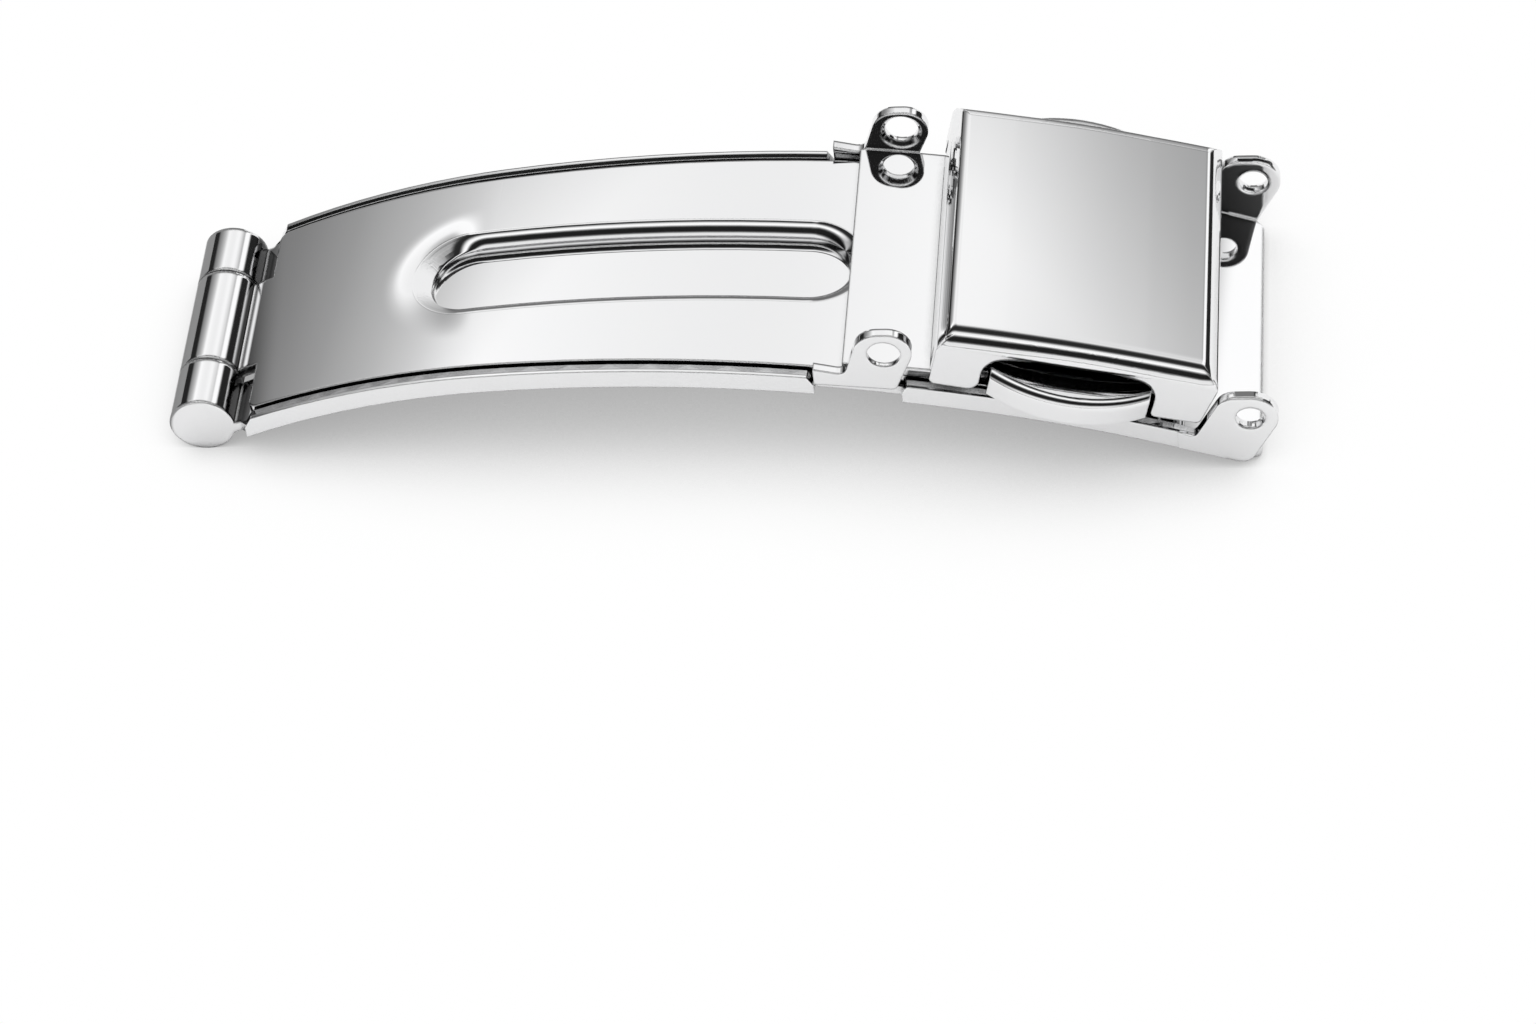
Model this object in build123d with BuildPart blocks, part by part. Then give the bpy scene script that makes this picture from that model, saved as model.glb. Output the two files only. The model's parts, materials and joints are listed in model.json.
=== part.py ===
# Deployant clasp for a watch bracelet, modelled folded shut.
# Lengths in millimetres, X along the clasp, Y across it, +Z up.
# The barrel hinge is at -X, the bracelet ears of the outer leaf at +X, the floor is z = 0.
import math
import os

from build123d import *

os.makedirs("parts", exist_ok=True)

# Widths across the clasp, all counted inwards or outwards from its edges
clasp_half = 8.0
start_inset = 1.5
barrel_inset = 0.65
neck_inset = 4.05
side_wall = 0.9
cap_proud = 1.45
cap_bow = 1.1
cap_depth = 2.3

# Leaves: two bands bent about one centre below the wrist side
sheet = 0.5
leaf_gap = 0.06
frame_gap = 0.08
outer_leaf_radius = 75.14
arc_ahead = 22.42
arc_below = 70.06
bend_angle = 6.7
bend_tightening = 36.9
band_opening = 38.0
outer_leaf_top = outer_leaf_radius + sheet
inner_leaf_radius = outer_leaf_top + leaf_gap
inner_leaf_top = inner_leaf_radius + sheet
frame_radius = inner_leaf_top + frame_gap
frame_top = frame_radius + sheet

# Barrel hinge between the two leaves
barrel_radius = 1.53
start_half = clasp_half - start_inset
barrel_half = start_half - barrel_inset
leaf_pin_radius = 1.1
middle_knuckle_half = 2.9
knuckle_gap = 0.08
running_fit = 0.03

# Outer leaf, distances along X are from the barrel axis
ear_reach = 48.9
ear_rise = 3.01052
ear_radius = 1.27
ear_hole_radius = 0.68
leaf_start = 1.85
ear_to_leaf_end = 0.46
leaf_end = ear_reach + ear_to_leaf_end
tongue_start = 0.7
notch_play = 0.3
notch_half = middle_knuckle_half + notch_play
notch_end = 2.75
widening_slope = 0.038
end_half = clasp_half
rim_rise = 0.48
rim_start = 2.2
rim_one_end = 29.2
rim_two_start = 33.2
rim_two_to_ear = 2.0
rim_two_end = ear_reach - rim_two_to_ear
rim_slant = 0.55
ear_foot_length = 3.3
ear_foot_start = ear_reach - ear_foot_length
ear_lean = 28.0
ear_back_edge = 1.67
ear_back_round = 0.9
ear_foot_round = 0.6
ear_root_round = 0.35
pin_countersink = 0.22
corner_round = 0.5
outer_bead_start = 8.0
outer_bead_end = 32.6
outer_bead_half = 2.98
outer_bead_depth = 0.98

# Inner leaf
rim_play = 0.2
inner_start = 2.35
shoulder_x = 42.5
neck_half = clasp_half - neck_inset
inner_corner = 0.45
inner_bead_start = 10.7
inner_bead_end = 30.4
inner_bead_half = 1.95
inner_bead_depth = 0.88
inner_bead_lip = 0.75
window_start = 37.3
window_end = 42.9
window_half = 2.2
window_corner = 1.0
curl_radius = 1.02
cover_pin_radius = 0.5

# Cover, in its own frame: s along the cover, n away from the leaves
cover_angle = 13.45
cover_back = -5.9
cover_front = 7.0
cover_half = clasp_half
cover_top = 3.22
cover_crown_radius = 105.0
cover_roll = 0.8
lip_height = 2.75
lip_step = 0.15
front_wall = 0.45
back_wall = 0.5
back_wall_bottom = 0.65
roof = 0.45
leg_bottom = 0.33
leg_round = 0.28
leg_back_round = 0.55
leg_front_round = 0.22
front_slant = 0.45
cutout_back = -3.68
cutout_front = 4.28
cutout_shoulder = 2.25
cutout_top = 2.74
cutout_corner = 1.1
passage_play = 0.2
passage_half = neck_half + passage_play
passage_top = 1.5
passage_corner = 0.5
relief_width = 0.5
relief_top = 1.5

# Lug frame: strip, ears and feet at the back, hinge brackets at the front
strip_start = 30.55
strip_half = cover_half - side_wall
foot_start = 29.25
foot_low = 0.7
foot_high = 1.6
foot_end = 32.95
frame_ear_x = 32.55
frame_ear_rise = 2.87
frame_ear_hole_radius = 0.77
frame_ear_lean = 18.0
frame_ear_edge = 1.38
frame_ear_top = 1.18
frame_ear_round = 1.12
frame_ear_root_round = 0.45
frame_ear_foot_round = 0.28
waist_back = -3.5
waist_front = 4.5
middle_end = 4.25
arm_play = 0.25
arm_inner = neck_half + arm_play
arm_end = 6.05
hinge_s = 5.4
bracket_play = 0.3
bracket_inner = neck_half + bracket_play
bracket_back = 4.55
bracket_top = 1.1
corner_tab_back = 5.0
corner_tab_top = 2.4
back_tab_start = -5.35
back_tab_end = -4.0
slot_back = -1.5
slot_front = 2.5
slot_half = 1.5

# Latch
post_flange_radius = 1.65
post_flange = 0.35
post_cone_radius = 1.3
post_neck_radius = 0.65
post_neck_start = 1.5
post_head_radius = 1.05
post_head_start = 2.45
post_height = 3.25
post_shank_radius = 0.8
post_flange_edge = 0.12
post_head_edge = 0.3
base_thickness = 0.3
base_back = -5.1
base_middle_end = 4.25
guide_height = 1.3
guide_wall = 0.5
slider_play = 0.05
slider_thickness = 0.45
slider_bottom = guide_height + slider_play
slider_top = slider_bottom + slider_thickness
plate_play = 0.06
plate_bottom = slider_top + plate_play
plate_thickness = 0.25
plate_top = plate_bottom + plate_thickness
band_half = 2.85
plate_front = 4.25
head_hole_back = -1.3
head_hole_front = 1.9
head_hole_half = 1.2
tab_back = 3.0
tab_front = 4.1
tab_bottom = 1.05
tab_thickness = 0.4
rivet_back = -4.5
rivet_front = 3.62
rivet_radius = 0.38
rivet_shoulder = 0.6

# Buttons
stroke = 0.9
cap_reach = cover_half + cap_proud
cap_end_reach = cap_reach - cap_bow
cap_inner = cap_reach - cap_depth
waist_play = 0.15
waist_half = cap_inner - stroke - waist_play
yoke_back = -3.6
yoke_front = 4.6
yoke_gap = 0.05
yoke_width = 1.1
yoke_outer = cap_inner - yoke_gap
yoke_inner = yoke_outer - yoke_width
base_half = yoke_inner - stroke - slider_play
arm_back = 1.6
arm_front = 2.6
jaw_back = -1.1
jaw_play = 0.08
jaw_outer = 1.9
tongue_back = -2.2
tongue_front = 3.0
tongue_length = 0.95
tongue_reach = cap_inner + tongue_length
cap_back = -3.3
cap_front = 4.0
cap_bottom = 0.45
cap_top = 2.0
cap_edge = 0.42
cap_foot_edge = 0.25
slip_fit = 0.02
spring_s = 3.55
spring_n = 1.57
spring_radius = 0.36
wire_radius = 0.09
spring_turns = 3
wire_sides = 4
spring_seat = 0.02

# Placing
hinge_x = -(ear_reach + ear_radius - barrel_radius) / 2
hinge_z = barrel_radius
arc_x = hinge_x + arc_ahead
arc_z = -arc_below
reach_y = 2 * cover_half
tall = 2 * cover_half
bend_sin = math.sin(math.radians(bend_angle))
bend_cos = math.cos(math.radians(bend_angle))
open_sin = math.sin(math.radians(band_opening))
open_cos = math.cos(math.radians(band_opening))
tight_x = arc_x - bend_tightening * bend_sin
tight_z = arc_z + bend_tightening * bend_cos
cover_rad = math.radians(cover_angle)
cover_s = Vector(math.cos(cover_rad), 0, -math.sin(cover_rad))
cover_n = Vector(math.sin(cover_rad), 0, math.cos(cover_rad))
cover_origin = Vector(arc_x, 0, arc_z) + cover_n * inner_leaf_top
cover_plane = Plane(origin=cover_origin, x_dir=cover_s, z_dir=cover_n)
side_plane = Plane(origin=cover_origin, x_dir=cover_s, z_dir=(0, -1, 0))
hinge_n = math.sqrt((inner_leaf_radius + curl_radius) ** 2 - hinge_s ** 2) - inner_leaf_top


def outer_half(x):
    """Half width of the outer leaf at a distance from the barrel axis."""
    return min(start_half + widening_slope * (x - rim_start), end_half)


def inner_half(x):
    """Half width of the inner leaf, inside the rims of the outer one."""
    return outer_half(x) - sheet - rim_play


def curve_z(x, radius):
    """Height of a leaf curve at a distance from the barrel axis."""
    if x >= arc_ahead - radius * bend_sin:
        return arc_z + math.sqrt(radius ** 2 - (x - arc_ahead) ** 2)
    return tight_z + math.sqrt((radius - bend_tightening) ** 2 - (hinge_x + x - tight_x) ** 2)


def band(inner, outer):
    """Bent band, tighter towards the barrel, wider than the clasp."""
    with BuildPart() as ring:
        with BuildSketch(Plane.XZ):
            with BuildLine():
                ends = []
                for radius in (outer, inner):
                    bend = (arc_x - radius * bend_sin, arc_z + radius * bend_cos)
                    right = (arc_x + radius * open_sin, arc_z + radius * open_cos)
                    left = (
                        tight_x - (radius - bend_tightening) * open_sin,
                        tight_z + (radius - bend_tightening) * open_cos,
                    )
                    RadiusArc(left, bend, radius - bend_tightening)
                    RadiusArc(bend, right, radius)
                    ends.append((left, right))
                Line(ends[0][0], ends[1][0])
                Line(ends[0][1], ends[1][1])
            make_face()
        extrude(amount=reach_y, both=True)
    return ring.part


def plan(corners):
    """Upright prism over an outline seen from above, each corner with its own rounding."""
    with BuildPart() as prism:
        with BuildSketch():
            with BuildLine():
                Polyline(*[(hinge_x + x, y) for x, y, _ in corners], close=True)
            make_face()
            for x, y, rounding in corners:
                if rounding:
                    fillet(vertices().sort_by_distance((hinge_x + x, y, 0))[0], radius=rounding)
        extrude(amount=tall)
    return prism.part


def dish(start, end, half, inner, outer):
    """Length of a band with round ends along the clasp."""
    ring = band(inner, outer)
    with BuildPart() as piece:
        with BuildSketch():
            with Locations((hinge_x + (start + end) / 2, 0)):
                SlotOverall(end - start, 2 * half)
        extrude(amount=tall)
        add(ring, mode=Mode.INTERSECT)
    return piece.part


def both_sides(corners):
    """The outline and its mirror image across the clasp."""
    return corners + [(x, -y, rounding) for x, y, rounding in reversed(corners)]


def lean_x(height, centre, angle, offset):
    """Place along the clasp of a leaning ear edge, at a height."""
    lean = math.radians(angle)
    return centre[0] + (height - centre[1]) * math.tan(lean) + offset / math.cos(lean)


# Outer leaf tools
outer_band = band(outer_leaf_radius, outer_leaf_top)
outer_wall_band = band(outer_leaf_radius, outer_leaf_top + rim_rise)
widening_end = rim_start + (end_half - start_half) / widening_slope
outer_outline = plan(both_sides([
    (notch_end, notch_half, corner_round),
    (tongue_start, notch_half, 0),
    (tongue_start, barrel_half, 0),
    (leaf_start, barrel_half, 0),
    (rim_start, outer_half(rim_start) - sheet / 2, 0),
    (rim_one_end, outer_half(rim_one_end) - sheet / 2, 0),
    (rim_one_end, outer_half(rim_one_end) - sheet, 0),
    (rim_two_start, outer_half(rim_two_start) - sheet, 0),
    (rim_two_start, outer_half(rim_two_start) - sheet / 2, 0),
    (widening_end, end_half - sheet / 2, 0),
    (rim_two_end, end_half - sheet / 2, 0),
    (rim_two_end, end_half - sheet, 0),
    (leaf_end, end_half - sheet, corner_round),
]))


def rim(start, end, slant_start, slant_end):
    """Side wall of the outer leaf, its outer face on the leaf outline."""
    with BuildPart() as strip:
        with BuildSketch(Plane.XY):
            with BuildLine():
                Polyline(
                    (hinge_x + start, outer_half(start)),
                    (hinge_x + end, outer_half(end)),
                    (hinge_x + end, outer_half(end) - sheet),
                    (hinge_x + start, outer_half(start) - sheet),
                    close=True,
                )
            make_face()
        extrude(amount=tall)
        add(outer_wall_band, mode=Mode.INTERSECT)
        for x, slant, sign in ((start, slant_start, 1), (end, slant_end, -1)):
            if slant:
                z = curve_z(x, outer_leaf_top + rim_rise)
                with BuildSketch(Plane.XZ):
                    with BuildLine():
                        Polyline(
                            (hinge_x + x - sign * sheet, z - rim_rise),
                            (hinge_x + x, z - rim_rise),
                            (hinge_x + x + sign * slant, z + sheet),
                            (hinge_x + x - sign * sheet, z + sheet),
                            close=True,
                        )
                    make_face()
                extrude(amount=reach_y, both=True, mode=Mode.SUBTRACT)
    return strip.part


rim_one = rim(rim_start, rim_one_end, rim_slant, rim_slant)
rim_two = rim(rim_two_start, rim_two_end, rim_slant, 0)
outer_bead = dish(
    outer_bead_start - sheet, outer_bead_end + sheet, outer_bead_half + sheet,
    outer_leaf_radius - outer_bead_depth, outer_leaf_top - sheet / 2,
)
outer_bead_room = dish(
    outer_bead_start, outer_bead_end, outer_bead_half,
    outer_leaf_top - outer_bead_depth, outer_leaf_top + rim_rise,
)
post_base = Vector(arc_x, 0, arc_z) + cover_n * outer_leaf_top
post_plane = Plane(origin=post_base, x_dir=cover_s, z_dir=cover_n)

ear_height = curve_z(ear_reach, outer_leaf_radius) + ear_rise
ear_centre = (hinge_x + ear_reach, ear_height)
ear_top = ear_height + ear_radius
ear_root = curve_z(rim_two_end, outer_leaf_top + rim_rise)
ear_base = curve_z(leaf_end, outer_leaf_radius) + sheet / 2
ear_root_corner = (lean_x(ear_root, ear_centre, ear_lean, -ear_back_edge), ear_root)
ear_back_corner = (lean_x(ear_top, ear_centre, ear_lean, -ear_back_edge), ear_top)
ear_front_corner = (lean_x(ear_top, ear_centre, ear_lean, ear_radius), ear_top)
ear_foot_corner = (lean_x(ear_base, ear_centre, ear_lean, ear_radius), ear_base)
ear_rounds = (
    (ear_root_corner, ear_root_round),
    (ear_back_corner, ear_back_round),
    (ear_front_corner, ear_radius),
    (ear_foot_corner, ear_foot_round),
)

with BuildPart() as outer_leaf:
    add(outer_band)
    add(outer_outline, mode=Mode.INTERSECT)
    # Pressed stiffening bead, sunk towards the wrist
    add(outer_bead)
    add(outer_bead_room, mode=Mode.SUBTRACT)
    # Rims in two lengths, the gap between them lets the feet of the lug frame in
    add(rim_one)
    add(rim_two)
    mirror(rim_one, about=Plane.XZ)
    mirror(rim_two, about=Plane.XZ)
    # Ear plate rising out of the end of the rim
    with BuildSketch(Plane.XZ.offset(end_half)):
        with BuildLine():
            Polyline(
                (hinge_x + ear_foot_start, curve_z(ear_foot_start, outer_leaf_radius)),
                (hinge_x + ear_foot_start, curve_z(ear_foot_start, outer_leaf_top + rim_rise)),
                ear_root_corner,
                ear_back_corner,
                ear_front_corner,
                ear_foot_corner,
                close=True,
            )
        make_face()
        for corner, rounding in ear_rounds:
            fillet(vertices().sort_by_distance((*corner, 0))[0], radius=rounding)
    ear = extrude(amount=-sheet)
    mirror(ear, about=Plane.XZ)
    with Locations((ear_centre[0], 0, ear_centre[1])):
        Cylinder(ear_hole_radius, reach_y, rotation=(90, 0, 0), mode=Mode.SUBTRACT)
    # Knuckles of the barrel
    knuckle_mid = (barrel_half + middle_knuckle_half + knuckle_gap) / 2
    with Locations((hinge_x, knuckle_mid, hinge_z), (hinge_x, -knuckle_mid, hinge_z)):
        Cylinder(barrel_radius, barrel_half - middle_knuckle_half - knuckle_gap, rotation=(90, 0, 0))
    with Locations((hinge_x, 0, hinge_z)):
        Cylinder(leaf_pin_radius, reach_y, rotation=(90, 0, 0), mode=Mode.SUBTRACT)
    with BuildSketch(post_plane):
        Circle(post_shank_radius)
    extrude(amount=tall, both=True, mode=Mode.SUBTRACT)
outer_leaf.part.label = "outer_leaf"

# Latch post, riveted through the outer leaf
with BuildPart() as latch_post:
    with BuildSketch(Plane(origin=post_base, x_dir=cover_s, z_dir=(0, -1, 0))):
        with BuildLine():
            Polyline(
                (0, -sheet),
                (post_shank_radius, -sheet),
                (post_shank_radius, 0),
                (post_flange_radius, 0),
                (post_flange_radius, post_flange - post_flange_edge),
                (post_cone_radius, post_flange),
                (post_neck_radius, post_neck_start),
                (post_neck_radius, post_head_start),
                (post_head_radius, post_head_start + post_flange_edge),
                (post_head_radius, post_height - post_head_edge),
                (post_head_radius - post_head_edge, post_height),
                (0, post_height),
                close=True,
            )
        make_face()
    revolve(axis=Axis(post_base, cover_n))
latch_post.part.label = "latch_post"

with BuildPart() as leaf_hinge_pin:
    with Locations((hinge_x, 0, hinge_z)):
        Cylinder(leaf_pin_radius, 2 * barrel_half, rotation=(90, 0, 0))
leaf_hinge_pin.part.label = "leaf_hinge_pin"

# Inner leaf
inner_band = band(inner_leaf_radius, inner_leaf_top)
cover_hinge = cover_origin + cover_s * hinge_s + cover_n * hinge_n
neck_end = cover_hinge.X - hinge_x
inner_outline = plan(both_sides([
    (tongue_start, middle_knuckle_half, 0),
    (inner_start, middle_knuckle_half, 0),
    (inner_start, inner_half(rim_start), inner_corner),
    (shoulder_x, inner_half(shoulder_x), inner_corner),
    (shoulder_x, neck_half, inner_corner),
    (neck_end, neck_half, 0),
]))
inner_bead = dish(
    inner_bead_start - sheet, inner_bead_end + sheet, inner_bead_half + sheet,
    inner_leaf_radius - inner_bead_depth, inner_leaf_top - sheet / 2,
)
inner_bead_room = dish(
    inner_bead_start, inner_bead_end, inner_bead_half,
    inner_leaf_top - inner_bead_depth, inner_leaf_top + rim_rise,
)

with BuildPart() as inner_leaf:
    add(inner_band)
    add(inner_outline, mode=Mode.INTERSECT)
    add(inner_bead)
    add(inner_bead_room, mode=Mode.SUBTRACT)
    with Locations((hinge_x, 0, hinge_z)):
        Cylinder(barrel_radius, 2 * middle_knuckle_half, rotation=(90, 0, 0))
    with Locations(cover_hinge):
        Cylinder(curl_radius, 2 * neck_half, rotation=(90, 0, 0))
    with Locations((hinge_x, 0, hinge_z)):
        Cylinder(leaf_pin_radius + running_fit, reach_y, rotation=(90, 0, 0), mode=Mode.SUBTRACT)
    with Locations(cover_hinge):
        Cylinder(cover_pin_radius + running_fit, reach_y, rotation=(90, 0, 0), mode=Mode.SUBTRACT)
    # Window that lets the latch post through
    with BuildSketch():
        with Locations((hinge_x + (window_start + window_end) / 2, 0)):
            RectangleRounded(window_end - window_start, 2 * window_half, window_corner)
    extrude(amount=tall, mode=Mode.SUBTRACT)
    # The sheet rolls over into the bead
    lip_edges = [
        edge for edge in inner_leaf.edges()
        if abs(edge.center().Y) < inner_bead_half + running_fit
        and inner_bead_start - running_fit < edge.center().X - hinge_x < inner_bead_end + running_fit
        and edge.center().Z > curve_z(edge.center().X - hinge_x, inner_leaf_top) - inner_bead_depth / 2
    ]
    fillet(lip_edges, radius=inner_bead_lip)
inner_leaf.part.label = "inner_leaf"

with BuildPart() as cover_hinge_pin:
    with Locations(cover_hinge):
        Cylinder(cover_pin_radius, 2 * (bracket_inner + sheet), rotation=(90, 0, 0))
cover_hinge_pin.part.label = "cover_hinge_pin"

# Cover shell: crowned roof with rolled edges, open towards the ears
back_height = cover_top - cover_back ** 2 / (2 * cover_crown_radius)
front_height = cover_top - cover_front ** 2 / (2 * cover_crown_radius)
cutout_mid = (cutout_back + cutout_front) / 2
leg_rounds = (
    ((cover_back, leg_bottom), leg_round),
    ((cutout_back, leg_bottom), leg_back_round),
    ((cutout_back, cutout_shoulder), cutout_corner),
    ((cutout_front, cutout_shoulder), cutout_corner),
    ((cutout_front, leg_bottom), leg_front_round),
)
with BuildPart() as cover_shell:
    # Outline seen from the side: crown, legs and the arch over the button
    with BuildSketch(side_plane) as cover_side:
        with BuildLine():
            ThreePointArc((cover_back, back_height), (0, cover_top), (cover_front, front_height))
            Polyline(
                (cover_front, front_height),
                (cover_front, leg_bottom),
                (cutout_front, leg_bottom),
                (cutout_front, cutout_shoulder),
            )
            ThreePointArc(
                (cutout_front, cutout_shoulder), (cutout_mid, cutout_top), (cutout_back, cutout_shoulder))
            Polyline(
                (cutout_back, cutout_shoulder),
                (cutout_back, leg_bottom),
                (cover_back, leg_bottom),
                (cover_back, back_height),
            )
        make_face()
        for corner, rounding in leg_rounds:
            fillet(vertices().sort_by_distance((*corner, 0))[0], radius=rounding)
    extrude(amount=cover_half, both=True)
    roof_edges = [
        edge for edge in cover_shell.edges()
        if cover_plane.to_local_coords(edge.center()).Z > lip_height + lip_step
    ]
    fillet(roof_edges, radius=cover_roll)
    # Side walls step in below the rolled lip
    for side in (1, -1):
        with BuildSketch(cover_plane.offset(lip_height)):
            with Locations(((cover_back + cover_front) / 2, side * cover_half)):
                Rectangle(reach_y, 2 * lip_step)
        extrude(amount=-lip_height, mode=Mode.SUBTRACT)
    # Front wall leans back towards the wrist
    with BuildSketch(side_plane):
        with BuildLine():
            Polyline(
                (cover_front, lip_height),
                (cover_front + sheet, lip_height),
                (cover_front + sheet, leg_bottom - sheet),
                (cover_front - front_slant, leg_bottom - sheet),
                (cover_front - front_slant, leg_bottom),
                close=True,
            )
        make_face()
    extrude(amount=reach_y, both=True, mode=Mode.SUBTRACT)
    foot_edges = [
        edge for edge in cover_shell.edges().filter_by(Axis.Y)
        if abs(cover_plane.to_local_coords(edge.center()).X - cover_front + front_slant) < lip_step
        and abs(cover_plane.to_local_coords(edge.center()).Z - leg_bottom) < lip_step
    ]
    fillet(foot_edges, radius=leg_round)
    # Hollow inside, deeper below the back wall so that the strip runs in under it
    inside_front = cover_front - front_slant - front_wall
    for start, height in ((cover_back + back_wall, cover_top - roof), (cover_back - back_wall, back_wall_bottom)):
        with BuildSketch(cover_plane):
            with Locations(((start + inside_front) / 2, 0)):
                Rectangle(inside_front - start, 2 * strip_half)
        extrude(amount=height, mode=Mode.SUBTRACT)
    # Passage for the neck of the inner leaf
    with BuildSketch(Plane(origin=cover_origin, x_dir=(0, 1, 0), z_dir=cover_s)):
        RectangleRounded(2 * passage_half, 2 * passage_top, passage_corner)
    extrude(amount=reach_y, mode=Mode.SUBTRACT)
    # Relief slots at the ends of the front and back walls
    with BuildSketch(Plane(origin=cover_origin, x_dir=(0, 1, 0), z_dir=cover_s)):
        with Locations((strip_half - relief_width / 2, 0), (relief_width / 2 - strip_half, 0)):
            SlotOverall(2 * relief_top, relief_width, rotation=90)
    extrude(amount=reach_y, both=True, mode=Mode.SUBTRACT)
cover_shell.part.label = "cover_shell"


def frame_x(s, n=0):
    """Distance from the barrel axis of a point given in the cover frame."""
    return (cover_origin + cover_s * s + cover_n * n).X - hinge_x


rivet_places = ((rivet_back, 0), (rivet_front, 0))

# Lug frame: strip with two ears behind the cover, arms and hinge brackets below it
frame_band = band(frame_radius, frame_top)
frame_outline = plan(both_sides([
    (frame_x(middle_end), arm_inner, 0),
    (frame_x(arm_end), arm_inner, 0),
    (frame_x(arm_end), strip_half, 0),
    (frame_x(waist_front), strip_half, 0),
    (frame_x(waist_front), waist_half, 0),
    (frame_x(waist_back), waist_half, 0),
    (frame_x(waist_back), strip_half, 0),
    (strip_start, strip_half, 0),
]))
leaf_room_band = band(outer_leaf_radius - tall, frame_radius)
leaf_room = plan([
    (strip_start - sheet, strip_half, 0),
    (leaf_end, strip_half, 0),
    (leaf_end, -strip_half, 0),
    (strip_start - sheet, -strip_half, 0),
])
with BuildPart() as leaf_clearance:
    add(leaf_room)
    add(leaf_room_band, mode=Mode.INTERSECT)

frame_ear_centre = (hinge_x + frame_ear_x, curve_z(frame_ear_x, outer_leaf_radius + frame_ear_rise))
frame_ear_summit = frame_ear_centre[1] + frame_ear_top
foot_root = curve_z(frame_ear_x, outer_leaf_radius + foot_high)
foot_base = curve_z(foot_end, outer_leaf_radius + foot_low)
frame_root_corner = (lean_x(foot_root, frame_ear_centre, frame_ear_lean, -frame_ear_edge), foot_root)
frame_back_corner = (
    lean_x(frame_ear_summit, frame_ear_centre, frame_ear_lean, -frame_ear_edge), frame_ear_summit)
frame_front_corner = (
    lean_x(frame_ear_summit, frame_ear_centre, frame_ear_lean, frame_ear_edge), frame_ear_summit)
frame_foot_corner = (hinge_x + foot_end, foot_base)
frame_ear_rounds = (
    (frame_root_corner, frame_ear_root_round),
    (frame_back_corner, frame_ear_round),
    (frame_front_corner, frame_ear_round),
    (frame_foot_corner, frame_ear_foot_round),
)

with BuildPart() as lug_frame:
    add(frame_band)
    add(frame_outline, mode=Mode.INTERSECT)
    # Ear with a foot that runs back along the edge of the leaves, between the two rims
    with BuildSketch(Plane.XZ.offset(strip_half + sheet)):
        with BuildLine():
            Polyline(
                (hinge_x + foot_start, curve_z(foot_start, outer_leaf_radius + foot_low)),
                (hinge_x + foot_start, curve_z(foot_start, outer_leaf_radius + foot_high)),
                frame_root_corner,
                frame_back_corner,
                frame_front_corner,
                frame_foot_corner,
                close=True,
            )
        make_face()
        for corner, rounding in frame_ear_rounds:
            fillet(vertices().sort_by_distance((*corner, 0))[0], radius=rounding)
    frame_ear = extrude(amount=-sheet)
    mirror(frame_ear, about=Plane.XZ)
    with Locations((frame_ear_centre[0], 0, frame_ear_centre[1])):
        Cylinder(frame_ear_hole_radius, reach_y, rotation=(90, 0, 0), mode=Mode.SUBTRACT)
    pin_edges = [
        edge for edge in lug_frame.edges().filter_by(GeomType.CIRCLE)
        if abs(edge.radius - frame_ear_hole_radius) < running_fit
        and abs(edge.center().Y) < strip_half + sheet / 2
    ]
    chamfer(pin_edges, length=pin_countersink)
    # Brackets that hold the cover hinge pin
    with BuildSketch(side_plane.offset(bracket_inner + sheet)):
        with Locations(((bracket_back + arm_end) / 2, bracket_top / 2)):
            Rectangle(arm_end - bracket_back, bracket_top)
    bracket = extrude(amount=-sheet)
    mirror(bracket, about=Plane.XZ)
    # Tabs that carry the side walls of the cover
    with BuildSketch(side_plane.offset(strip_half)):
        for start, end in ((back_tab_start, back_tab_end), (corner_tab_back, arm_end)):
            with Locations(((start + end) / 2, corner_tab_top / 2)):
                Rectangle(end - start, corner_tab_top)
    tabs = extrude(amount=-sheet)
    mirror(tabs, about=Plane.XZ)
    # Everything stays clear of the inner leaf
    add(leaf_clearance.part, mode=Mode.SUBTRACT)
    with Locations(cover_hinge):
        Cylinder(cover_pin_radius, reach_y, rotation=(90, 0, 0), mode=Mode.SUBTRACT)
    with BuildSketch(cover_plane):
        with Locations(((slot_back + slot_front) / 2, 0)):
            SlotOverall(slot_front - slot_back, 2 * slot_half)
        with Locations(*rivet_places):
            Circle(rivet_radius)
    extrude(amount=tall, both=True, mode=Mode.SUBTRACT)
lug_frame.part.label = "lug_frame"

# Latch base plate with the collar that guides the two sliders
base_band = band(frame_top, frame_top + base_thickness)
below_base = band(frame_radius - tall, frame_top)
base_outline = plan([
    (frame_x(base_back), base_half, 0),
    (frame_x(base_middle_end), base_half, 0),
    (frame_x(base_middle_end), -base_half, 0),
    (frame_x(base_back), -base_half, 0),
])
with BuildPart() as latch_base_plate:
    add(base_band)
    add(base_outline, mode=Mode.INTERSECT)
    with BuildSketch(cover_plane):
        with Locations(((slot_back + slot_front) / 2, 0)):
            SlotOverall(slot_front - slot_back + 2 * guide_wall, 2 * (slot_half + guide_wall))
    extrude(amount=guide_height)
    add(below_base, mode=Mode.SUBTRACT)
    with BuildSketch(cover_plane):
        with Locations(((slot_back + slot_front) / 2, 0)):
            SlotOverall(slot_front - slot_back, 2 * slot_half)
        with Locations(*rivet_places):
            Circle(rivet_radius)
    extrude(amount=tall, mode=Mode.SUBTRACT)
latch_base_plate.part.label = "latch_base_plate"

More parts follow.
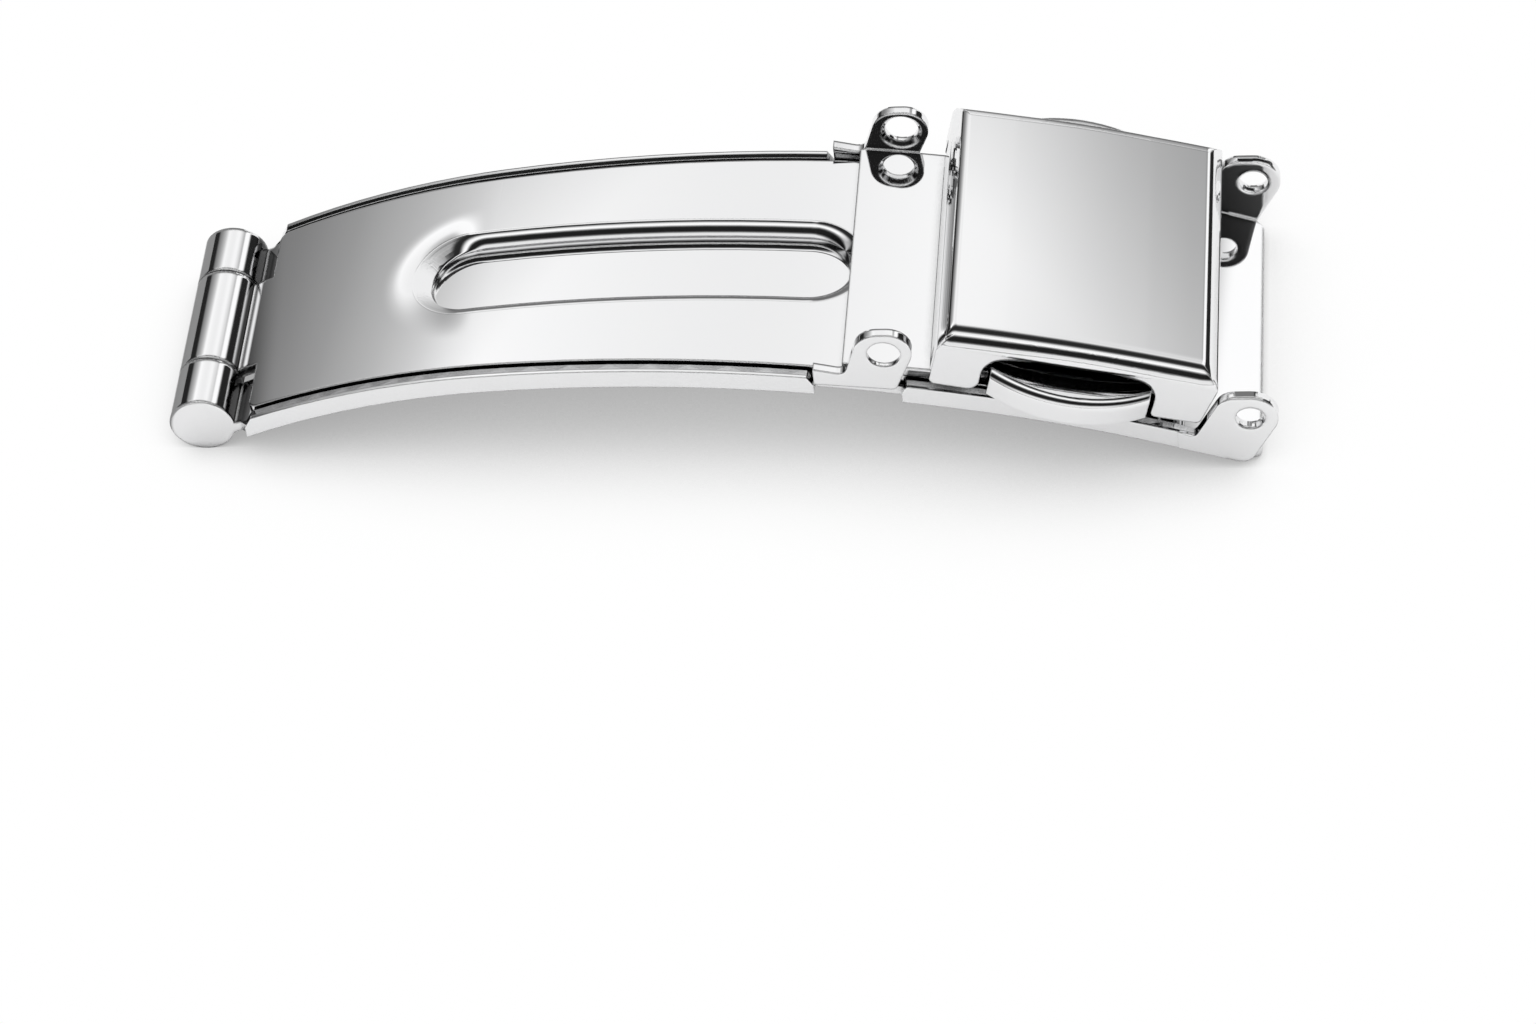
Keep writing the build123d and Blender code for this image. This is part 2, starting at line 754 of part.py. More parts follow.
# Latch top plate with two tabs that the springs push against
with BuildPart() as latch_top_plate:
    with BuildSketch(cover_plane.offset(plate_bottom)):
        with Locations(((base_back + plate_front) / 2, 0)):
            Rectangle(plate_front - base_back, 2 * band_half)
        with Locations(((head_hole_back + head_hole_front) / 2, 0)):
            SlotOverall(head_hole_front - head_hole_back, 2 * head_hole_half, mode=Mode.SUBTRACT)
        with Locations(*rivet_places):
            Circle(rivet_radius, mode=Mode.SUBTRACT)
    extrude(amount=plate_thickness)
    with BuildSketch(cover_plane.offset(tab_bottom)):
        for side in (1, -1):
            with Locations(((tab_back + tab_front) / 2, side * (band_half - tab_thickness / 2))):
                Rectangle(tab_front - tab_back, tab_thickness)
    extrude(amount=plate_top - tab_bottom)
latch_top_plate.part.label = "latch_top_plate"


def rivet(s):
    """Shouldered rivet between the frame and the top plate."""
    low = math.sqrt(frame_radius ** 2 - s ** 2) - inner_leaf_top
    base = math.sqrt((frame_top + base_thickness) ** 2 - (abs(s) - rivet_shoulder) ** 2) - inner_leaf_top
    centre = cover_origin + cover_s * s
    with BuildPart() as pin:
        with BuildSketch(Plane(origin=centre, x_dir=cover_s, z_dir=(0, -1, 0))):
            with BuildLine():
                Polyline(
                    (0, low),
                    (rivet_radius, low),
                    (rivet_radius, base),
                    (rivet_shoulder, base),
                    (rivet_shoulder, plate_bottom),
                    (rivet_radius, plate_bottom),
                    (rivet_radius, plate_top),
                    (0, plate_top),
                    close=True,
                )
            make_face()
        revolve(axis=Axis(centre, cover_n))
    return pin


latch_rivet_back = rivet(rivet_back)
latch_rivet_front = rivet(rivet_front)
latch_rivet_back.part.label = "latch_rivet_back"
latch_rivet_front.part.label = "latch_rivet_front"


def slider(side):
    """Latch slider: yoke behind the button, arm past the post, jaw behind the post neck."""
    turn = -side
    with BuildPart() as plate:
        with BuildSketch(cover_plane.offset(slider_bottom)):
            with Locations(((yoke_back + yoke_front) / 2, side * (yoke_inner + yoke_outer) / 2)):
                Rectangle(yoke_front - yoke_back, yoke_outer - yoke_inner)
            with Locations(((tongue_back + tongue_front) / 2, side * (yoke_outer + tongue_reach) / 2)):
                Rectangle(tongue_front - tongue_back, tongue_reach - yoke_outer)
            with Locations((turn * (arm_back + arm_front) / 2, side * (yoke_inner - jaw_outer) / 2)):
                Rectangle(arm_front - arm_back, yoke_inner + jaw_outer)
            with Locations((turn * (jaw_back + arm_back) / 2, -side * jaw_outer / 2)):
                Rectangle(arm_back - jaw_back, jaw_outer)
            Circle(post_neck_radius + jaw_play, mode=Mode.SUBTRACT)
            with Locations((turn * (jaw_back + arm_back) / 2 - turn * sheet, 0)):
                Rectangle(arm_back - jaw_back, 2 * jaw_play + sheet, mode=Mode.SUBTRACT)
        extrude(amount=slider_thickness)
    return plate


near_latch_slider = slider(-1)
far_latch_slider = slider(1)
near_latch_slider.part.label = "near_latch_slider"
far_latch_slider.part.label = "far_latch_slider"


def button(side):
    """Push button: bowed front, flat back with a slot for the tongue of the slider."""
    with BuildPart() as cap:
        with BuildSketch(cover_plane.offset(cap_bottom)):
            with BuildLine():
                Polyline(
                    (cap_front, side * cap_end_reach),
                    (cap_front, side * cap_inner),
                    (cap_back, side * cap_inner),
                    (cap_back, side * cap_end_reach),
                )
                ThreePointArc(
                    (cap_back, side * cap_end_reach),
                    ((cap_back + cap_front) / 2, side * cap_reach),
                    (cap_front, side * cap_end_reach),
                )
            make_face()
        extrude(amount=cap_top - cap_bottom)
        front_edges = cap.edges().filter_by(GeomType.CIRCLE).sort_by(Axis.Z)
        fillet(front_edges[-1], radius=cap_edge)
        chamfer(front_edges[0], length=cap_foot_edge)
        with BuildSketch(cover_plane.offset(slider_bottom - slip_fit)):
            with Locations(((tongue_back + tongue_front) / 2, side * (cap_inner + tongue_reach) / 2)):
                Rectangle(tongue_front - tongue_back + 2 * slip_fit, tongue_reach - cap_inner + 2 * slip_fit)
        extrude(amount=slider_thickness + 2 * slip_fit, mode=Mode.SUBTRACT)
    return cap


near_button_cap = button(-1)
far_button_cap = button(1)
near_button_cap.part.label = "near_button_cap"
far_button_cap.part.label = "far_button_cap"


def spring(side):
    """Coil spring between the top plate tab and the yoke of the slider."""
    start = band_half + wire_radius + spring_seat
    length = yoke_inner - band_half - 2 * (wire_radius + spring_seat)
    seat = cover_origin + cover_s * spring_s + cover_n * spring_n + Vector(0, side * start, 0)
    with BuildPart() as coil:
        with BuildLine() as path:
            Helix(length / spring_turns, length, spring_radius, center=seat, direction=(0, side, 0))
        with BuildSketch(Plane(origin=path.line @ 0, z_dir=path.line % 0)):
            RegularPolygon(wire_radius, wire_sides)
        sweep(path=path.line)
    return coil


near_spring = spring(-1)
far_spring = spring(1)
near_spring.part.label = "near_button_spring"
far_spring.part.label = "far_button_spring"

pieces = [
    outer_leaf, latch_post, leaf_hinge_pin, inner_leaf, cover_hinge_pin, cover_shell,
    lug_frame, latch_base_plate, latch_top_plate, latch_rivet_back, latch_rivet_front,
    near_latch_slider, far_latch_slider, near_button_cap, far_button_cap, near_spring, far_spring,
]
for piece in pieces:
    export_step(piece.part, f"parts/{piece.part.label}.step")
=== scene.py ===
# %% [markdown]
# # A polished deployant clasp
# The clasp of a steel watch bracelet, folded shut. Its leaves, cover, buttons and latch come from
# the CAD model as exact solids, so this lesson is about what a camera sees of them: the mirror
# polish, the small breaks along pressed edges, and the studio that a mirror needs around it.
# Polished steel has almost no colour of its own. What looks like its shading is the room, so most
# of the work below goes into the room.

# %% Load the clasp
import json
import math

import bpy
from mathutils import Matrix, Vector


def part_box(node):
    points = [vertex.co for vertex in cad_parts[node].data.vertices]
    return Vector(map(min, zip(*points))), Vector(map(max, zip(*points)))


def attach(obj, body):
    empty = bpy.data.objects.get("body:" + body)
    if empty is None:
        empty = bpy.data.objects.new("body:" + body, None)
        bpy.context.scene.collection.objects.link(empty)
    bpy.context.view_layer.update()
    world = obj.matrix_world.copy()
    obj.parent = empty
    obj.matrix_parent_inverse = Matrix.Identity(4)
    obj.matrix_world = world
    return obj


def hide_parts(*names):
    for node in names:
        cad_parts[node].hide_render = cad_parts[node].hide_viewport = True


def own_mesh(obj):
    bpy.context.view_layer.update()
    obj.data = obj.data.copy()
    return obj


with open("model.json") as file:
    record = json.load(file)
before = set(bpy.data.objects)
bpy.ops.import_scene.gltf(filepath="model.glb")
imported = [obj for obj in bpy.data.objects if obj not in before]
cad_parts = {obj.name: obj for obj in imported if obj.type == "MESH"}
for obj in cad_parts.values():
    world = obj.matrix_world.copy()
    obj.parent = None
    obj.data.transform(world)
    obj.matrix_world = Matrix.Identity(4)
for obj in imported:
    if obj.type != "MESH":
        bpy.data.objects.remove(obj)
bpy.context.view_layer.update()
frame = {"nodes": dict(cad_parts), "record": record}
print("nodes:", ", ".join(sorted(frame["nodes"])))

# %% [markdown]
# ## The camera
# The photograph was taken from above and in front, with a long lens and the camera rolled a few
# degrees. A camera could be moved by hand until the view looks right. Here its angles were worked
# out by matching known corners of the clasp to the photograph, because a mirror shows every degree
# of error. The lens is written in image widths, so it holds for any render size.

# %% Place the camera
photo_width = 1536
focal_pixels = 5210.5
sensor_width = 36.0
elevation = math.radians(46.564)
turn = math.radians(9.851)
roll = math.radians(7.820)
looked_at = Vector((0, 0, 0.004))
seen_from = Vector((-0.0021248, -0.0102932, 0.2430175))
nearest_seen = 0.01
farthest_seen = 20

flat_reach = math.cos(elevation)
forward = Vector((-math.sin(turn) * flat_reach, math.cos(turn) * flat_reach, -math.sin(elevation)))
right = Vector((math.cos(turn), math.sin(turn), 0))
down = forward.cross(right)
rolled_right = right * math.cos(roll) + down * math.sin(roll)
rolled_down = down * math.cos(roll) - right * math.sin(roll)
axes = Matrix((rolled_right, -rolled_down, -forward)).transposed()

bpy.ops.object.camera_add()
camera = bpy.context.object
camera.name = "photo_camera"
aside = rolled_right * seen_from.x + rolled_down * seen_from.y
camera.location = looked_at - aside - forward * seen_from.z
camera.rotation_euler = axes.to_euler()
camera.data.sensor_width = sensor_width
camera.data.lens = focal_pixels / photo_width * sensor_width
camera.data.clip_start = nearest_seen
camera.data.clip_end = farthest_seen
bpy.context.scene.camera = camera
print("camera at", [round(value, 4) for value in camera.location])

# %% [markdown]
# ## Writing shaders as sums
# A studio of soft boxes is easiest to read as arithmetic: this angle, less that angle, softened.
# Nodes could be added and linked one by one, but then the sum is lost among the links. One small
# class wraps a socket so that `a * b + 1` adds the Math nodes, and one method adds any other node
# by its type.

# %% A class for shader sums
class Flow:
    """A value inside a node tree, which can be added, multiplied and compared."""

    def __init__(self, tree, socket=None):
        self.tree = tree
        self.socket = socket

    def node(self, kind, settings=None, inputs=None, output=0):
        """Adds a node, its settings first and then its sockets, and returns one output."""
        made = self.tree.nodes.new(kind)
        for name, value in (settings or {}).items():
            if name == "stops":
                elements = made.color_ramp.elements
                while len(elements) < len(value):
                    elements.new(1)
                for element, (place, shade) in zip(elements, value):
                    element.position = place
                    element.color = (shade, shade, shade, 1)
            elif name == "easing":
                made.color_ramp.interpolation = value
            else:
                setattr(made, name, value)
        for name, value in (inputs or {}).items():
            if isinstance(value, Flow):
                self.tree.links.new(value.socket, made.inputs[name])
            else:
                made.inputs[name].default_value = value
        return Flow(self.tree, made.outputs[output]) if made.outputs else None

    def maths(self, operation, *others):
        values = dict(enumerate((self, *others)))
        return self.node("ShaderNodeMath", {"operation": operation}, values)

    def vector(self, operation, *others, output=0):
        values = dict(enumerate((self, *others)))
        return self.node("ShaderNodeVectorMath", {"operation": operation}, values, output)

    def scaled(self, factor):
        """This vector, made longer by a number."""
        return self.node("ShaderNodeVectorMath", {"operation": "SCALE"}, {0: self, 3: factor})

    def part(self, index):
        """The x, y or z of this vector, as 0, 1 or 2."""
        return self.node("ShaderNodeSeparateXYZ", {}, {0: self}, output=index)

    def joined(self, x=0.0, y=0.0, z=0.0):
        """A vector of three numbers. This value only says which tree it goes into."""
        return self.node("ShaderNodeCombineXYZ", {}, {0: x, 1: y, 2: z})

    def ramp(self, low, high):
        """0 below `low`, 1 above `high`, smooth between them; `low` may be the larger one."""
        return self.node("ShaderNodeMapRange", {"interpolation_type": "SMOOTHSTEP"}, {
            "Value": self, "From Min": low, "From Max": high})

    def levels(self, stops, easing):
        """A brightness for each value, from stops of a place and a level."""
        return self.node("ShaderNodeValToRGB", {"stops": stops, "easing": easing}, {"Fac": self})

    def clamped(self):
        return self.node("ShaderNodeClamp", {}, {0: self})

    def blend(self, first, second):
        """One of two numbers, or a mix of them, chosen by this value."""
        return self.node("ShaderNodeMix", {"data_type": "FLOAT"}, {0: self, 2: first, 3: second})

    def blend_vectors(self, first, second):
        return self.node("ShaderNodeMix", {"data_type": "VECTOR"}, {
            0: self, 4: first, 5: second}, output=1)

    def blend_colours(self, first, second):
        return self.node("ShaderNodeMix", {"data_type": "RGBA"}, {
            0: self, 6: first, 7: second}, output=2)

    def blend_shaders(self, first, second):
        return self.node("ShaderNodeMixShader", {}, {0: self, 1: first, 2: second})

    def __add__(self, other):
        return self.maths("ADD", other)

    def __sub__(self, other):
        return self.maths("SUBTRACT", other)

    def __mul__(self, other):
        return self.maths("MULTIPLY", other)

    def __truediv__(self, other):
        return self.maths("DIVIDE", other)

    def __rsub__(self, other):
        return self.node("ShaderNodeMath", {"operation": "SUBTRACT"}, {0: other, 1: self})

    def __rtruediv__(self, other):
        return self.node("ShaderNodeMath", {"operation": "DIVIDE"}, {0: other, 1: self})

    __radd__ = __add__
    __rmul__ = __mul__


def empty_tree(owner):
    """Turns on nodes, clears them and returns a flow to start from."""
    owner.use_nodes = True
    owner.node_tree.nodes.clear()
    return Flow(owner.node_tree)


print("shader sums ready")

# %% [markdown]
# ## The studio
# A tent of white cloth surrounds the clasp, with dark gaps between its panels. Flat steel mirrors
# the part of the tent behind the clasp, and a rolled edge sweeps over all of it, which gives the
# thin black and white lines of the photograph. Cloth and lamps could be built around the clasp.
# Here the world paints the tent by direction, which takes no room and keeps clear of the leaves
# when they swing. Two readings place every panel: how far a direction points along the clasp, and
# how far it leans over it, in half turns from behind the clasp to in front of it.

# %% Read the direction
world = bpy.context.scene.world or bpy.data.worlds.new("studio")
bpy.context.scene.world = world
tent = empty_tree(world)
direction = tent.node("ShaderNodeTexCoord", output="Generated")
along = direction.part(0)
across = direction.part(1)
height = direction.part(2)
over = height.maths("ARCTAN2", across) / math.pi
print("tent measured along the clasp and over it")

# %% [markdown]
# ## The cloth behind the clasp
# The leaves and the roof of the cover mirror this part, and level steel mirrors the top of it. Its
# levels began as a fit to the photographed steel, which shows how bright the room was in each
# direction that it mirrors, and were then rounded and changed. The cloth is bright high up,
# dims towards the horizon, and is dimmer towards the ears. A bright panel stands on that side, with
# a dark gap beyond it, and another gap lies beyond the barrel.

# %% Paint the cloth behind
cloth_stops = [
    (0.0, 0.22),
    (0.09, 0.17),
    (0.14, 0.15),
    (0.18, 0.28),
    (0.205, 0.42),
    (0.222, 0.58),
    (0.235, 0.94),
    (0.245, 1.18),
    (0.262, 1.25),
]
fade_stops = [
    (0.17, 1.0),
    (0.23, 0.90),
    (0.35, 0.76),
    (0.48, 0.66),
    (0.55, 0.76),
    (0.60, 0.76),
    (0.63, 0.64),
    (0.67, 0.56),
    (0.70, 0.54),
]
cloth_strength = 1.43
panel_level = 1.15
gap_level = 0.02
panel_start = (0.395, 0.425)
panel_end = (0.60, 0.54)
barrel_gap = (-0.63, -0.68)

cloth = over.levels(cloth_stops, "B_SPLINE")
fade = (along * 0.5 + 0.5).levels(fade_stops, "B_SPLINE")
middle = cloth * fade * cloth_strength
panel = along.ramp(*panel_end).blend(gap_level, panel_level)
ear_side = along.ramp(*panel_start).blend(middle, panel)
behind = along.ramp(*barrel_gap).blend(ear_side, gap_level)
print("cloth behind painted in", len(cloth_stops), "levels over and", len(fade_stops), "along")

# %% [markdown]
# ## The cloth above and in front
# Only faces that lean towards the camera look this way, such as rolled edges, near sides and the
# bowed fronts of the buttons. The bands here are what draws their dark and bright lines. The light
# is weaker towards both ends of the clasp, as in a tent that is lit from its middle.

# %% Paint the cloth above
roof_stops = [
    (0.262, 1.0),
    (0.285, 0.12),
    (0.305, 0.025),
    (0.37, 0.025),
    (0.40, 0.20),
    (0.44, 0.80),
    (0.48, 1.15),
    (0.53, 1.15),
    (0.57, 0.40),
    (0.61, 0.05),
    (0.65, 0.015),
    (0.79, 0.015),
    (0.84, 0.25),
    (0.87, 0.90),
    (1.0, 0.95),
]
barrel_end = (-0.75, -0.35)
ear_end = (0.90, 0.50)
end_level = 0.45

roof = over.levels(roof_stops, "LINEAR")
bowed = along.ramp(*barrel_end) * along.ramp(*ear_end) * (1 - end_level) + end_level
print("cloth above painted in", len(roof_stops), "levels")

# %% [markdown]
# ## Hanging the tent
# The two cloths meet at about the height that level steel mirrors, and below the horizon the room
# is dark. Rays that only carry soft light see plain white instead, so that colours stay true, and
# so does the camera, which gives the white background.

# %% Hang the tent on the world
roof_start = (0.255, 0.27)
horizon = (-0.03, 0.01)
ground_level = 0.03

upper = over.ramp(*roof_start).blend(behind, roof * bowed)
room = height.ramp(*horizon).blend(ground_level, upper)
mirrored = tent.node("ShaderNodeLightPath", output="Is Glossy Ray")
mirror_light = tent.node("ShaderNodeBackground", {}, {"Color": room, "Strength": 1.0})
soft_light = tent.node("ShaderNodeBackground", {}, {"Color": (1, 1, 1, 1), "Strength": 1.0})
tent.node("ShaderNodeOutputWorld", {}, {"Surface": mirrored.blend_shaders(soft_light, mirror_light)})
print("tent hung")

# %% [markdown]
# ## The floor
# The clasp stands on white card. A solid card would hide the middle leaf, which swings below the
# card's level when the clasp opens. So what the camera sees of the card is only its shade: it is
# clear where nothing stands near, and darkens close to the clasp. Mirrors and soft light see a
# white card from above. Beyond the barrel, mirrors see a painted grey shadow on it, which darkens
# the end of the barrel. From below the card isn't there, so the open leaf mirrors the tent too.

# %% Lay the floor
card_size = 0.3
shade_reach = 0.011
shade_depth = 0.62
shade_samples = 16
shade_fade = (0.92, 0.05)
mirrored_shadow_fade = (-0.0262, -0.0275)
card_white = (1, 1, 1, 1)
mirrored_shadow_grey = (0.3, 0.3, 0.3, 1)


def white_card():
    """White matt card whose shade alone is seen by the camera, with a painted grey shadow in mirrors."""
    finish = bpy.data.materials.new("white_card")
    flow = empty_tree(finish)
    mirrored = flow.node("ShaderNodeLightPath", output="Is Glossy Ray")
    place = flow.node("ShaderNodeTexCoord", output="Object")
    # Painted shadow: beyond the barrel the card is grey, for mirrored rays only
    mirrored_shadow = place.part(0).ramp(*mirrored_shadow_fade) * mirrored
    card = flow.node("ShaderNodeBsdfPrincipled", {}, {
        "Base Color": mirrored_shadow.blend_colours(card_white, mirrored_shadow_grey),
        "Roughness": 1.0,
        "Specular IOR Level": 0.0,
    })
    open_air = flow.node("ShaderNodeAmbientOcclusion", {"samples": shade_samples}, {
        "Distance": shade_reach}, output="AO")
    shade = open_air.ramp(*shade_fade) * shade_depth
    clear = flow.node("ShaderNodeBsdfTransparent")
    black = flow.node("ShaderNodeEmission", {}, {"Strength": 0.0})
    seen = flow.node("ShaderNodeLightPath", output="Is Camera Ray")
    from_above = seen.blend_shaders(card, shade.blend_shaders(clear, black))
    below = flow.node("ShaderNodeNewGeometry", output="Backfacing")
    flow.node("ShaderNodeOutputMaterial", {}, {"Surface": below.blend_shaders(from_above, clear)})
    return finish


bpy.ops.object.select_all(action="DESELECT")
bpy.ops.mesh.primitive_plane_add(size=card_size, location=(0, 0, 0))
floor = bpy.context.object
floor.name = "white_card"
floor.data.materials.append(white_card())
print("floor laid,", card_size, "m wide")

# %% [markdown]
# ## Turning the shading normals
# A mirror shows the smallest bend, and much of what the photograph shows on this clasp is bends
# too slight for their own faces: the first turn of a lip, the broken edge of a rim. They could be
# modelled with many more faces. Here a material turns the normal by which its surface mirrors, and
# the solids stay as they are. The sums run in the piece's own axes, so that a pattern swings with
# its leaf.

# %% Read and write normals
def own_normal(flow):
    """The surface's normal in the piece's own axes."""
    facing = flow.node("ShaderNodeNewGeometry", output="Normal")
    return flow.node("ShaderNodeVectorTransform", {
        "vector_type": "NORMAL", "convert_from": "WORLD", "convert_to": "OBJECT"}, {0: facing})


def world_normal(normal):
    """The same normal in the room's axes, as a shader takes it."""
    return normal.node("ShaderNodeVectorTransform", {
        "vector_type": "NORMAL", "convert_from": "OBJECT", "convert_to": "WORLD"}, {
        0: normal.vector("NORMALIZE")})


def as_made(flow, place, normal):
    """A piece whose solid already has its whole form."""
    return normal


print("normals can be turned")

# %% [markdown]
# ## Rolled sheet
# The leaves are strips of sheet rolled about two centres: a wide curve that follows the wrist and
# a tighter one towards the barrel. Facets would break up the reflection, so the exact normal of
# those two curves is worked out from where a point lies.

# %% Roll the leaves' normals
wide_centre = (-0.0019, -0.07006)
tight_centre = (-0.006205, -0.033411)
bend = math.radians(6.7)
sheet_facing = (0.985, 0.995)
hinge_x = -0.02432
hinge_z = 0.00153
knuckle_from = hinge_x + 0.00002
knuckle_full = hinge_x - 0.00008
knuckle_turn = (1.2, 1, 1)


def sheet_radial(flow, place):
    """The direction square to the rolled sheet, away from the wrist."""
    x = place.part(0)
    z = place.part(2)
    past = (x - wide_centre[0]) * math.cos(bend) + (z - wide_centre[1]) * math.sin(bend)
    barrel_side = past.maths("LESS_THAN", 0.0)
    from_x = x - barrel_side.blend(wide_centre[0], tight_centre[0])
    from_z = z - barrel_side.blend(wide_centre[1], tight_centre[1])
    return flow.joined(x=from_x, z=from_z).vector("NORMALIZE")


def rolled_sheet(flow, place, normal):
    """The exact normal of sheet rolled about two centres, so that no facet shows in the mirror."""
    radial = sheet_radial(flow, place)
    same = radial.vector("DOT_PRODUCT", normal, output=1)
    exact = radial.scaled(same.maths("SIGN"))
    smooth = same.maths("ABSOLUTE").ramp(*sheet_facing).blend_vectors(normal, exact)
    # The barrel's own normals, turned a little further on its outer side
    knuckle = place.part(0).ramp(knuckle_from, knuckle_full)
    turned = normal.vector("MULTIPLY", knuckle_turn).vector("NORMALIZE")
    return knuckle.blend_vectors(smooth, turned)


print("leaves rolled about", wide_centre, "and", tight_centre)

# %% [markdown]
# ## The rims of the outer leaf
# The outer leaf's long sides are folded up into rims, and buffing breaks their inner edges, which
# show as a line along each rim. The band follows the rim where it widens away from the barrel, and
# its normal tips inwards, a little less on the near side.

# %% Break the rims' inner edges
rim_from = 0.0022
rim_half = 0.0065
rim_widening = 0.038
rim_half_most = 0.008
rim_tilt_far = math.radians(44)
rim_tilt_near = math.radians(34)
rim_top_facing = (0.90, 0.96)
rim_band_outer = (0.00016, 0.00023)
rim_band_inner = (0.00058, 0.00054)


def folded_rim(flow, place, normal):
    """The outer leaf: rolled sheet whose rims are broken along their inner edges."""
    smooth = rolled_sheet(flow, place, normal)
    y = place.part(1)
    widened = (place.part(0) - (hinge_x + rim_from)) * rim_widening + rim_half
    inset = widened.maths("MINIMUM", rim_half_most) - y.maths("ABSOLUTE")
    facing = sheet_radial(flow, place).vector("DOT_PRODUCT", normal, output=1)
    band = inset.ramp(*rim_band_outer) * inset.ramp(*rim_band_inner) * facing.ramp(*rim_top_facing)
    tilt = band * y.maths("LESS_THAN", 0.0).blend(rim_tilt_far, rim_tilt_near)
    level = smooth.scaled(tilt.maths("COSINE"))
    inward = flow.joined(y=tilt.maths("SINE") * y.maths("SIGN") * -1)
    return level.vector("ADD", inward)


print("rims broken up to", round(math.degrees(rim_tilt_far)), "degrees")

# %% [markdown]
# ## The bead of the inner leaf
# A long bead is pressed into the inner leaf to stiffen it. At the barrel's end the sheet starts to
# sink well before the bead itself, in a shallow dish that the solid doesn't have. Its normals lean
# towards the end of the bead, more along the leaf than across it.

# %% Sink the sheet into the bead
bead_end_x = -0.01167
bead_half = 0.00195
bead_run_out = 0.0025
bead_full_share = 0.25
bead_slope = 0.30
bead_cross_share = 0.22
dish_start = (-0.0112, -0.0130)
dish_end = (-0.0195, -0.0190)
dish_edge = (-0.00015, 0.00005)
dish_facing = (0.2, 0.5)


def pressed_bead(flow, place, normal):
    """The inner leaf: rolled sheet that sinks softly into its bead at the barrel's end."""
    smooth = rolled_sheet(flow, place, normal)
    radial = sheet_radial(flow, place)
    x = place.part(0)
    from_end = flow.joined(x=x - bead_end_x, y=place.part(1))
    gap = from_end.vector("LENGTH", output=1) - bead_half
    slope = gap.ramp(bead_run_out, bead_run_out * bead_full_share) * bead_slope
    inward = from_end.vector("NORMALIZE")
    step_x = inward.part(0) * slope * -1
    step_y = inward.part(1) * slope * -bead_cross_share
    step = flow.joined(radial.part(2) * step_x, step_y, radial.part(0) * step_x * -1)
    sunk = radial.vector("ADD", step)
    dish = x.ramp(*dish_start) * x.ramp(*dish_end) * gap.ramp(*dish_edge)
    dish = dish * normal.part(2).ramp(*dish_facing)
    return dish.blend_vectors(smooth, sunk)


print("bead runs out over", bead_run_out * 1000, "mm")

# %% [markdown]
# ## The lip of the cover
# The cover is a shallow box drawn from sheet. Its roof starts to turn well before the edge and
# ever faster towards it, which a plain fillet doesn't do. That slow start is what draws the
# reflection out into a soft band. So the normal is turned by a power of the way to the edge,
# sideways first and then along the cover.

# %% Turn the cover's lip
cover_lean = math.radians(13.45)
cover_middle = 0.014448
lip_start = 0.00633
lip_far_start = 0.0073
lip_end = 0.008
lip_power = 2.4
front_start = 0.00605
front_end = 0.0070
front_turn = math.radians(36)
front_power = 1.15
back_start = 0.0051
back_end = 0.0059
back_turn = math.radians(75)
back_power = 1.5
roof_facing = (0.30, 0.36)


def rolled_lip(flow, place, normal):
    """The cover's sheet starts to turn early along its edges, ever faster towards them."""
    y = place.part(1)
    start = y.maths("LESS_THAN", 0.0).blend(lip_far_start, lip_start)
    reach = ((y.maths("ABSOLUTE") - start) / (start * -1 + lip_end)).clamped()
    angle = reach.maths("POWER", lip_power) * (math.pi / 2)
    # Along the cover: its front edge and its back edge
    cover_axis = (math.cos(cover_lean), 0, -math.sin(cover_lean))
    ahead = place.vector("DOT_PRODUCT", cover_axis, output=1) - cover_middle
    to_front = ((ahead - front_start) / (front_end - front_start)).clamped()
    to_back = ((ahead * -1 - back_start) / (back_end - back_start)).clamped()
    front = to_front.maths("POWER", front_power) * front_turn
    back = to_back.maths("POWER", back_power) * back_turn
    pitch = front - back
    flat = normal.vector("MULTIPLY", (1, 0, 1)).vector("NORMALIZE")
    flat_x = flat.part(0)
    flat_z = flat.part(2)
    turn_cos = pitch.maths("COSINE")
    turn_sin = pitch.maths("SINE")
    pitched_x = flat_x * turn_cos + flat_z * turn_sin
    pitched_z = flat_z * turn_cos - flat_x * turn_sin
    pitched = flow.joined(x=pitched_x, z=pitched_z)
    level = pitched.scaled(angle.maths("COSINE"))
    outward = flow.joined(y=angle.maths("SINE") * y.maths("SIGN"))
    cover_up = (math.sin(cover_lean), 0, math.cos(cover_lean))
    facing = normal.vector("DOT_PRODUCT", cover_up, output=1)
    return facing.ramp(*roof_facing).blend_vectors(normal, level.vector("ADD", outward))


print("lip turns over the last", round((lip_end - lip_start) * 1000, 2), "mm")

# %% [markdown]
# ## Mirror polished steel
# The visible pieces are pressed from stainless sheet and buffed. Buffing leaves a mirror with the
# faintest haze, which drifts over the surface, and breaks every sharp edge by a few hundredths of a
# millimetre. A Bevel node turns the normal along the edges, so the thin bright lines need no extra
# faces. The side faces are polished less. Narrow gaps are dark in a mirror, because steel there sees
# steel. Enough bounces of light would show that too, but ambient occlusion is quicker and darkens
# them by a chosen amount. One function makes every finish, since they differ only in numbers and in
# the bends that they need.

# %% Make the steel
cloud_scale = 420.0
cloud_detail = 3.0
fine_scale = 5200.0
fine_detail = 2.0
fine_share = 0.5
haze_middle = 0.75
side_facing = (0.9, 0.97)
side_grain = 0.1
crevice_samples = 6
crevice_level = 0.05
cool_share = (0.985, 0.988, 1)
edge_samples = 8
groove_shade_place = (-0.0218, -0.0222)
groove_shade_facing = (0.74, 0.84)
ends_middle = 0.0005
ends_from = (0.0228, 0.0230)
pin_face = (0.00126, 0.00120)


